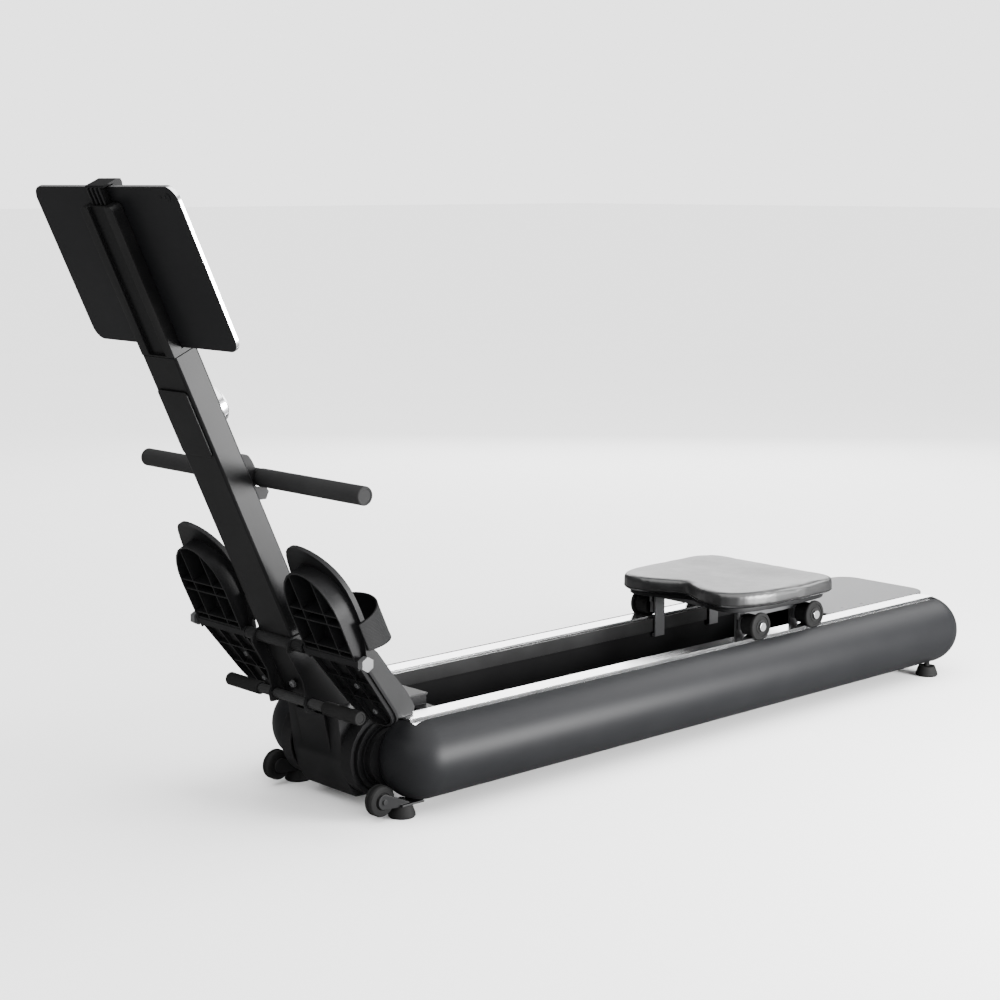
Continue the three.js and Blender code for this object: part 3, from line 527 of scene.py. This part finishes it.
# ---- tablet ----
tablet = {"edge": 0.0010, "thick": 0.006, "lensInset": 0.0215, "dotInset": 0.0385, "down": 0.0150,
          "facing": 0.9,
          "lens": [(-0.0009, 0.0056, 0), (0.0006, 0.0056, 1), (0.0009, 0.0052, 1), (0.0009, 0.0040, 2),
                   (0.0004, 0.0037, 2), (0.0004, 0.0, 2)],
          "dot": [(-0.0009, 0.0030, 0), (0.0004, 0.0030, 0), (0.0005, 0.0026, 1), (0.0005, 0.0, 1)]}
slab = dressed("tablet", "tabletBack", tablet["edge"])
slab.data.materials.append(paints["tabletRim"])
slab.data.materials.append(paints["screenGlass"])
for face in slab.data.polygons:
    facing = Vector(face.normal).dot(outDirection)
    face.material_index = 0 if facing < -tablet["facing"] else 2 if facing > tablet["facing"] else 1
low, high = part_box("tablet")
tabletTop = Vector((0, low[1], high[2] - tablet["thick"] * sin(lean)))
tabletTones = ["tabletBack", "tabletRim", "screenGlass"]
for label, inset, profile, toneCount in (("camera", tablet["lensInset"], tablet["lens"], 3),
                                         ("flash", tablet["dotInset"], tablet["dot"], 2)):
    backSpot = tabletTop - runDirection * tablet["down"] + Vector((high[0] - inset, 0, 0))
    lens = lathe("tablet_" + label, backSpot, -outDirection, profile, tabletTones[:toneCount], 32)
    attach(lens, "tablet")
print("tablet made")


# ---- grips ----
plugStep = {"in": 0.0008, "narrower": 0.0006}
rimRound = {"along": 0.4, "off": 0.3}


def grip(node, outward, look):
    # soft tube with rounded ends and a plug set into the outer end
    centre, half = middle(node)
    r, end, rim = half.z, half.x, look["rim"]
    shoulder, drop = rim * rimRound["along"], rim * rimRound["off"]
    plugIn = end - plugStep["in"]
    profile = [(-end, look["bore"], 0), (-end, r - rim, 0), (-end + shoulder, r - drop, 0),
               (-end + rim, r, 0), (end - rim, r, 0), (end - shoulder, r - drop, 0), (end, r - rim, 0),
               (end, look["plug"], 1), (plugIn, look["plug"] - plugStep["narrower"], 1), (plugIn, 0.0, 1)]
    piece = lathe(node + "_made", centre, (outward, 0, 0), profile, [look["skin"], "endPlug"], 56)
    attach(piece, bodyOf(node))
    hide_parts(node)
    return piece


handleGrip = {"bore": 0.0108, "rim": 0.0016, "plug": 0.0100, "skin": "foam"}
footGrip = {"bore": 0.0068, "rim": 0.0014, "plug": 0.0072, "skin": "rubber"}
for name, side in sides:
    foamGrip = grip("handle_grip_" + name, side, handleGrip)
    grip("stand_bar_grip_" + name, side, footGrip)
print("grips made")


# ---- wheels ----
roller = {"hubRadius": 0.0118, "ringRadius": 0.0175, "bore": 0.0055, "treadDrop": 0.0057, "step": 0.0012}
for end in ("front", "rear"):
    for name, side in sides:
        node = "seat_roller_" + end + "_" + name
        low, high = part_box(node)
        centre, half = middle(node)
        flange = half.z
        inner, outer = sorted((abs(low[0]), abs(high[0])))
        reach = outer - inner
        start = Vector((side * inner, centre.y, centre.z))
        tread = flange - roller["treadDrop"]
        ring, hub, bore = roller["ringRadius"], roller["hubRadius"], roller["bore"]
        sunk = reach - roller["step"]
        # tread, guiding flange, dark ring set back, bright hub
        profile = [(0.0, bore, 0), (0.0, tread - 0.001, 0), (0.001, tread, 0), (reach - 0.0068, tread, 0),
                   (reach - 0.0062, flange - 0.0004, 1), (reach - 0.0052, flange, 1),
                   (reach - 0.0016, flange, 1), (reach - 0.0003, flange - 0.0012, 1),
                   (reach, flange - 0.0026, 1), (reach, ring + 0.0006, 0),
                   (sunk, ring, 0), (sunk, hub + 0.0004, 2),
                   (reach - 0.0002, hub, 2), (reach - 0.0002, bore + 0.0020, 2),
                   (reach - 0.0010, bore + 0.0015, 2), (reach - 0.0010, bore, 2)]
        wheel = lathe(node + "_made", start, (side, 0, 0), profile, ["rubber", "rollerGrey", "chrome"], 56)
        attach(wheel, bodyOf(node))
        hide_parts(node)

tyreLook = {"bore": 0.0045, "rim": (0.0120, 0.0126, 0.0134), "groove": 0.0008, "mould": 0.0012}
for name, side in sides:
    node = "transport_wheel_" + name
    centre, half = middle(node)
    w, r = half.x, half.z
    inRim, midRim, outRim = tyreLook["rim"]
    groove, mould = tyreLook["groove"], tyreLook["mould"]
    # rim groove on each face, and a mould line round the middle of the tread
    profile = [(-w, tyreLook["bore"], 1), (-w, inRim, 0), (-w + groove, midRim, 0), (-w, outRim, 0),
               (-w, r - 0.004, 0), (-w + 0.001, r - 0.0015, 0), (-w + 0.003, r, 0), (-mould, r, 0),
               (-groove, r - groove, 0), (groove, r - groove, 0), (mould, r, 0), (w - 0.003, r, 0),
               (w - 0.001, r - 0.0015, 0), (w, r - 0.004, 0), (w, outRim, 0), (w - groove, midRim, 0),
               (w, inRim, 1), (w, tyreLook["bore"], 1)]
    tyre = lathe(node + "_made", centre, (side, 0, 0), profile, ["rubber", "rollerGrey"], 56)
    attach(tyre, bodyOf(node))
    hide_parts(node)
print("rollers and wheels made")


# ---- foot straps ----
strapBand = {"base": 0.020, "rise": 0.0665, "inner": 0.0659, "thick": 0.0026, "foot": 0.0142,
             "top": (0.0546, 0.0052), "bottom": (0.0100, 0.0226), "around": 72, "across": 8, "bead": 0.0006,
             "edge": 0.0007}


def strapArch(name, side):
    # band swept over the foot, with a fuller rim along both edges
    axle, _ = middle("pedal_axle")
    low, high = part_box("foot_strap_" + name)
    centreX = (low[0] + high[0]) / 2
    b = strapBand
    turns = [pi * i / b["around"] for i in range(b["around"] + 1)]
    halfUp = (b["foot"] + b["base"]) / 2
    # straight legs have their height in the third place, the arch its sine in the second
    path = [(1.0, None, b["foot"]), (1.0, None, halfUp)]
    path += [(cos(turn), sin(turn), None) for turn in turns]
    path += [(-1.0, None, halfUp), (-1.0, None, b["foot"])]
    shape = bmesh.new()
    rows = []
    for c, s, straight in path:
        row = []
        for layer in (0, 1):
            line = []
            for k in range(b["across"] + 1):
                t = k / b["across"]
                rimmed = b["bead"] if k in (0, b["across"]) else 0.0
                inset = b["bead"] if layer == 1 and 0 < k < b["across"] else 0.0
                width = b["inner"] + (b["thick"] - inset if layer else 0.0)
                height = b["rise"] - (0.0 if layer else b["thick"]) - (inset if layer else 0.0)
                x = c * width
                n = straight if s is None else b["base"] + s * height
                drop = (n - b["base"]) / b["rise"]
                upper = b["top"][0] - b["top"][1] * drop
                lower = b["bottom"][0] - b["bottom"][1] * drop
                run = lower + (upper - lower) * t
                place = axle + outDirection * n + runDirection * run
                line.append(shape.verts.new((centreX + x, place.y, place.z)))
            row.append(line)
        rows.append(row)
    last = b["across"]
    for first, second in zip(rows, rows[1:]):
        for layer in (0, 1):
            before, after = first[layer], second[layer]
            for k in range(last):
                shape.faces.new([before[k], before[k + 1], after[k + 1], after[k]])
        for k in (0, last):
            shape.faces.new([first[0][k], first[1][k], second[1][k], second[0][k]])
    for row in (rows[0], rows[-1]):
        for k in range(last):
            shape.faces.new([row[0][k], row[0][k + 1], row[1][k + 1], row[1][k]])
    bmesh.ops.recalc_face_normals(shape, faces=shape.faces)
    mesh = bpy.data.meshes.new("foot_strap_" + name)
    shape.to_mesh(mesh)
    shape.free()
    piece = newPiece("foot_strap_" + name + "_made", mesh, "strapWeave")
    rounding = piece.modifiers.new("edges", "BEVEL")
    rounding.width = b["edge"]
    rounding.segments = 2
    rounding.limit_method = "ANGLE"
    rounding.angle_limit = radians(50)
    applied(piece)
    return smoothed(piece, 45.0)


for name, side in sides:
    strap = strapArch(name, side)
    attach(strap, "pedal_" + name)
    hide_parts("foot_strap_" + name)
print("foot straps made")


# ---- pull strap ----
pull = {"pieces": 60, "edge": 0.0004}
low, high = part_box("pull_strap")
shape = bmesh.new()
rows = []
for i in range(pull["pieces"] + 1):
    y = low[1] + (high[1] - low[1]) * i / pull["pieces"]
    e = pull["edge"]
    section = [(low[0], low[2] + e), (low[0] + e, low[2]), (high[0] - e, low[2]), (high[0], low[2] + e),
               (high[0], high[2] - e), (high[0] - e, high[2]), (low[0] + e, high[2]), (low[0], high[2] - e)]
    rows.append([shape.verts.new((x, y, z)) for x, z in section])
for first, second in zip(rows, rows[1:]):
    for k in range(8):
        shape.faces.new([first[k], first[(k + 1) % 8], second[(k + 1) % 8], second[k]])
for row in (rows[0], rows[-1]):
    shape.faces.new(row)
bmesh.ops.recalc_face_normals(shape, faces=shape.faces)
mesh = bpy.data.meshes.new("pull_strap_band")
shape.to_mesh(mesh)
shape.free()
band = smoothed(newPiece("pull_strap_made", mesh, "pullWeave"), 40.0)
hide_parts("pull_strap")
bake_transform(band)
print("pull strap made")


# ---- seat pad ----
seatPad = {"shrink": 0.0018, "voxel": 0.004, "pressure": 4.0, "cap": 0.0018, "hollow": 0.0045,
           "hollowX": 0.072, "hollowY": 0.035, "spread": 0.062, "seamUp": 0.0060, "seamRadius": 0.0008,
           "frames": 20, "topDepth": 0.012, "topFade": 0.010, "seamSteps": 240}


def swollen(mesh, look):
    # firm foam: the skin swells under pressure, and no point moves further than the cap
    pad = newPiece("seat_pad_made", mesh, "padSkin")
    remesh = pad.modifiers.new("remesh", "REMESH")
    remesh.mode = "VOXEL"
    remesh.voxel_size = look["voxel"]
    applied(pad)
    before = [v.co.copy() for v in pad.data.vertices]
    cloth = pad.modifiers.new("cloth", "CLOTH")
    cloth.settings.use_pressure = True
    cloth.settings.uniform_pressure_force = look["pressure"]
    cloth.settings.effector_weights.gravity = 0.0
    cloth.point_cache.frame_start = 1
    cloth.point_cache.frame_end = look["frames"]
    for step in range(look["frames"]):
        scene.frame_set(step + 1)
    applied(pad)
    scene.frame_set(1)
    for vertex, start in zip(pad.data.vertices, before):
        move = vertex.co - start
        if move.length > look["cap"]:
            vertex.co = start + move.normalized() * look["cap"]
    return pad


low, high = (Vector(corner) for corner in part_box("seat_pad"))
mesh = cleanCopy("seat_pad")
centre = (low + high) / 2
half = (high - low) / 2
for vertex in mesh.vertices:
    # drawn in first, so that the swelling stays inside the CAD pad
    for i, share in enumerate((1, 1, 0.5)):
        kept = (half[i] - seatPad["shrink"] * share) / half[i]
        vertex.co[i] = centre[i] + (vertex.co[i] - centre[i]) * kept
pad = swollen(mesh, seatPad)
for vertex in pad.data.vertices:
    p = vertex.co
    share = max(0.0, min(1.0, (p.z - high.z + seatPad["topDepth"]) / seatPad["topFade"]))
    dip = 0.0
    for side in (1, -1):
        away = ((p.x - side * seatPad["hollowX"]) ** 2 + (p.y - centre.y - seatPad["hollowY"]) ** 2)
        dip += seatPad["hollow"] * exp(-away / seatPad["spread"] ** 2)
    p.z -= share * dip
    p.z = max(low.z, min(high.z, p.z))
subdivision = pad.modifiers.new("subdivision", "SUBSURF")
subdivision.levels = 1
subdivision.render_levels = 1
applied(pad)
smoothed(pad, 180.0)
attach(pad, "seat")
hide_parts("seat_pad")


def seamLoop(pad, height, radius):
    # follows the skin all the way round at one height
    shape = bmesh.new()
    shape.from_mesh(pad.data)
    everything = shape.verts[:] + shape.edges[:] + shape.faces[:]
    cut = bmesh.ops.bisect_plane(shape, geom=everything, plane_co=(0, 0, height), plane_no=(0, 0, 1))
    points = [g.co.copy() for g in cut["geom_cut"] if isinstance(g, bmesh.types.BMVert)]
    shape.free()
    heart = sum(points, Vector()) / len(points)
    bins = seatPad["seamSteps"]
    ring = {}
    for point in points:
        key = int((atan2(point.y - heart.y, point.x - heart.x) + pi) / (2 * pi) * bins) % bins
        ring.setdefault(key, []).append(point)
    line = [sum(ring[k], Vector()) / len(ring[k]) for k in sorted(ring)]
    curve = bpy.data.curves.new("seat_seam", "CURVE")
    curve.dimensions = "3D"
    curve.bevel_depth = radius
    curve.bevel_resolution = 2
    spline = curve.splines.new("POLY")
    spline.points.add(len(line) - 1)
    for point, place in zip(spline.points, line):
        point.co = (*place, 1.0)
    spline.use_cyclic_u = True
    rope = bpy.data.objects.new("seat_seam_curve", curve)
    scene.collection.objects.link(rope)
    bpy.context.view_layer.update()
    mesh = bpy.data.meshes.new_from_object(rope)
    bpy.data.objects.remove(rope)
    return smoothed(newPiece("seat_seam", mesh, "rubber"), 60.0)


seam = seamLoop(pad, low.z + seatPad["seamUp"], seatPad["seamRadius"])
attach(seam, "seat")
print("seat pad made")


# ---- floor, light and camera ----
studio = {"floorHalf": 60.0, "floorTones": ((0.86, 0.86, 0.86), (0.88, 0.88, 0.88)), "backdrop": 2.75,
          "fill": 0.2, "floorPaintedReflectionShade": (0.16, 0.16, 0.16), "sunPower": 8.5, "sunWidth": 100,
          "sunTilt": (12, 18)}
mesh = bpy.data.meshes.new("floor")
f = studio["floorHalf"]
mesh.from_pydata([(-f, -f, 0), (f, -f, 0), (f, f, 0), (-f, f, 0)], [], [(0, 1, 2, 3)])
floor = bpy.data.objects.new("floor", mesh)
scene.collection.objects.link(floor)
floorPaint = Paint("floorPaint")
floorTone = floorPaint.blend(floorPaint.noise(3.0), *studio["floorTones"])
# painted shade in reflections: the floor's colour is swapped for a dark grey whenever a glossy ray sees it
glossRays = floorPaint.node("ShaderNodeLightPath", out="Is Glossy Ray")
floorTone = floorPaint.blend(glossRays, floorTone, studio["floorPaintedReflectionShade"])  # painted reflection shade: glossy rays see the floor dark grey, so the dark parts reflect painted shade instead of the lit floor
mesh.materials.append(floorPaint.finish(floorTone, 0.9, extra={"Specular IOR Level": 0.0}))

world = bpy.data.worlds.new("studio")
world.use_nodes = True
tree = world.node_tree
rays = tree.nodes.new("ShaderNodeLightPath")
level = tree.nodes.new("ShaderNodeMapRange")  # bright backdrop, dimmer fill
level.inputs["To Min"].default_value = studio["fill"]
level.inputs["To Max"].default_value = studio["backdrop"]
tree.links.new(rays.outputs["Is Camera Ray"], level.inputs["Value"])
tree.links.new(level.outputs["Result"], tree.nodes["Background"].inputs["Strength"])
tree.nodes["Background"].inputs["Color"].default_value = (1.0, 1.0, 1.0, 1.0)
scene.world = world

sun = bpy.data.lights.new("ceiling", "SUN")  # soft and even, so the floor has no edge
sun.energy = studio["sunPower"]
sun.angle = radians(studio["sunWidth"])
sunObject = bpy.data.objects.new("ceiling", sun)
sunObject.rotation_euler = (radians(studio["sunTilt"][0]), radians(studio["sunTilt"][1]), 0)
scene.collection.objects.link(sunObject)

lamps = {
    "mastSide": {"place": (2.1, 0.85, 0.42), "aim": (0.0, -0.65, 0.5), "size": (1.3, 0.8), "power": 300},
    "shoulder": {"place": (0.9, 3.0, 2.3), "aim": (0.15, 0.2, 0.1), "size": (2.6, 1.5), "power": 150},
    "back": {"place": (-2.4, 2.8, 1.2), "aim": (0.0, 0.4, 0.2), "size": (2.4, 1.2), "power": 60},
}
for name, lamp in lamps.items():
    light = bpy.data.lights.new(name, "AREA")
    light.shape = "RECTANGLE"
    light.size, light.size_y = lamp["size"]
    light.energy = lamp["power"]
    lightObject = bpy.data.objects.new(name, light)
    lightObject.location = lamp["place"]
    aim = Vector(lamp["aim"]) - Vector(lamp["place"])
    lightObject.rotation_euler = aim.to_track_quat("-Z", "Y").to_euler()
    lightObject.visible_camera = False
    scene.collection.objects.link(lightObject)

cameraLook = {"place": (2.3064, -2.2720, 0.9177), "turn": 47.293, "down": 6.206, "lens": 72.18,
              "shift": -0.1}
camera = bpy.data.cameras.new("camera")
camera.lens = cameraLook["lens"]
camera.sensor_width = 36.0
camera.shift_y = cameraLook["shift"]
cameraObject = bpy.data.objects.new("camera", camera)
cameraObject.location = cameraLook["place"]
cameraObject.rotation_euler = (radians(90 - cameraLook["down"]), 0, radians(cameraLook["turn"]))
scene.collection.objects.link(cameraObject)
scene.camera = cameraObject
print("studio ready")
